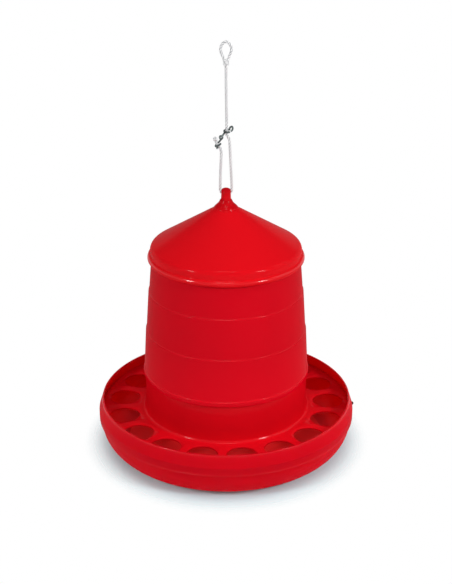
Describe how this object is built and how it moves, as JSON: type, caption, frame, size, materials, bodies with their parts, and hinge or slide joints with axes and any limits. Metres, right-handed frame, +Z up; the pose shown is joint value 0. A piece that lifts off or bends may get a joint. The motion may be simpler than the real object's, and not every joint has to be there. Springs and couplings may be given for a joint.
{
  "type": "poultry feeder",
  "caption": "Hanging poultry feeder: round pan under a ring of feeding holes, stepped hopper, cone lid, and a rope with a wire length adjuster.",
  "frame": {"origin": "on the floor, at the middle of the underside of the pan", "axes": "+Z up along the feeder's axis, -Y towards the viewer of the picture, +X to the right; the rope's two strands and the hanger's bar lie along X"},
  "size_m": [0.3833, 0.38, 0.6025],
  "materials": {
    "red_plastic": "moulded, softly glossy",
    "lid_plastic": "moulded, softly glossy, a little lighter than the body",
    "pale_cord": "twisted cord, matte",
    "galvanised_wire": "dull zinc",
    "browned_steel": "dull brown steel"
  },
  "bodies": {
    "root": {"feed_pan": "red_plastic", "grille_ring": "red_plastic", "hopper": "red_plastic", "hanger": "lid_plastic", "lid": "lid_plastic", "rim_screw": "browned_steel", "rope": "pale_cord", "rope_adjuster": "galvanised_wire", "tail_knot": "pale_cord", "hanging_loop": "pale_cord"}
  },
  "joints": []
}
